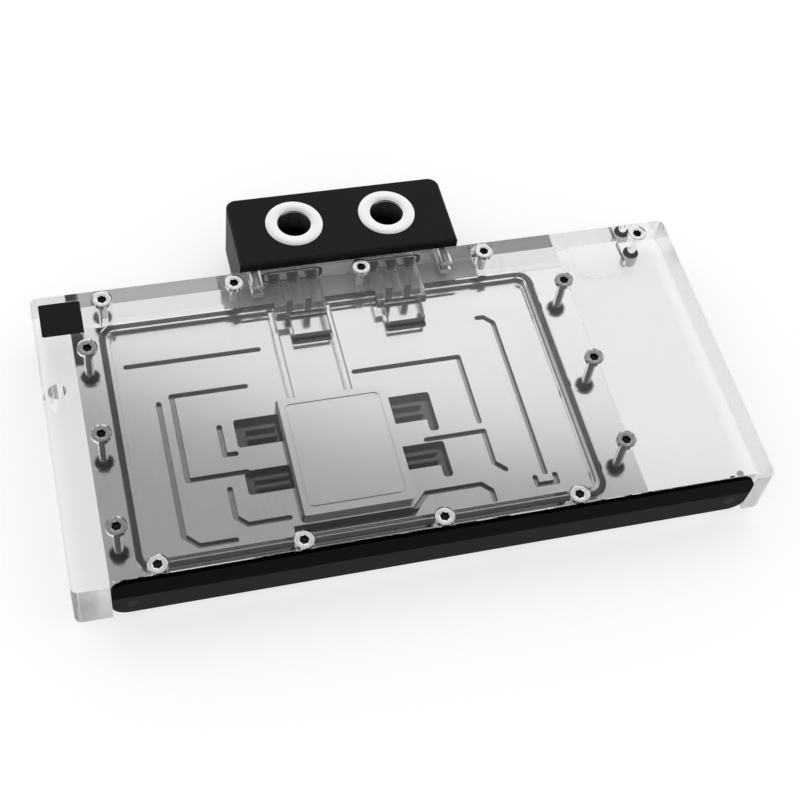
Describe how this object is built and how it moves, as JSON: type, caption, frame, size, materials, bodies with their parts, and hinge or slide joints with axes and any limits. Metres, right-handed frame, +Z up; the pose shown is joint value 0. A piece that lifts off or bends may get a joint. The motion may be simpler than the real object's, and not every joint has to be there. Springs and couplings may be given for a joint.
{
  "type": "liquid cooling cold plate",
  "caption": "Full-cover liquid cooling block: clear acrylic top over a nickel-plated copper plate, black terminal with threaded ports behind and a light bar in front.",
  "frame": {"origin": "centre of the bounding box's bottom face, on the surface that the standoffs stand on", "axes": "+X along the block's length, to the right seen from the light bar; +Y from the light bar towards the terminal; +Z up, from the contact faces to the clear top, along the ports"},
  "size_m": [0.24, 0.15, 0.0293],
  "materials": {
    "clear_acrylic": "polished clear cast acrylic, milled faces slightly frosted",
    "plate_nickel": "bright nickel plating over milled copper",
    "core_steel": "fine satin stainless steel with an engraved border",
    "sheet_steel": "rolled stainless sheet",
    "seal_rubber": "soft matte nitrile rubber cord",
    "ring_rubber": "matte nitrile rubber ring",
    "terminal_acetal": "black acetal, milled with a satin face",
    "port_chrome": "bright nickel-plated brass",
    "plug_acetal": "black acetal, turned",
    "screw_black": "black oxide steel",
    "insert_brass": "turned brass",
    "bar_anodised": "black anodised aluminium, satin",
    "board_white": "white solder mask on circuit board",
    "lamp_lens": "milky lamp housing",
    "badge_black": "gloss black plate",
    "screw_steel": "polished stainless steel",
    "standoff_nickel": "nickel-plated brass"
  },
  "bodies": {
    "root": {"clear_block": "clear_acrylic", "cold_plate": "plate_nickel", "core_cover": "core_steel", "jet_plate": "sheet_steel", "main_seal": "seal_rubber", "terminal_block": "terminal_acetal", "inlet_insert": "port_chrome", "outlet_insert": "port_chrome", "inlet_insert_seal": "ring_rubber", "outlet_insert_seal": "ring_rubber", "inlet_plug": "plug_acetal", "outlet_plug": "plug_acetal", "inlet_plug_seal": "ring_rubber", "outlet_plug_seal": "ring_rubber", "inlet_passage_seal": "ring_rubber", "outlet_passage_seal": "ring_rubber", "terminal_screws": "screw_black", "terminal_inserts": "insert_brass", "light_bar": "bar_anodised", "light_bar_screws": "screw_black", "light_board": "board_white", "lamps": "lamp_lens", "corner_badge": "badge_black", "front_cover_screws": "screw_steel", "back_cover_screws": "screw_steel", "left_cover_screws": "screw_steel", "right_cover_screws": "screw_steel", "corner_screw": "screw_steel", "corner_standoff": "standoff_nickel", "front_standoff": "standoff_nickel", "chip_standoffs": "standoff_nickel", "edge_standoffs": "standoff_nickel"}
  },
  "joints": []
}
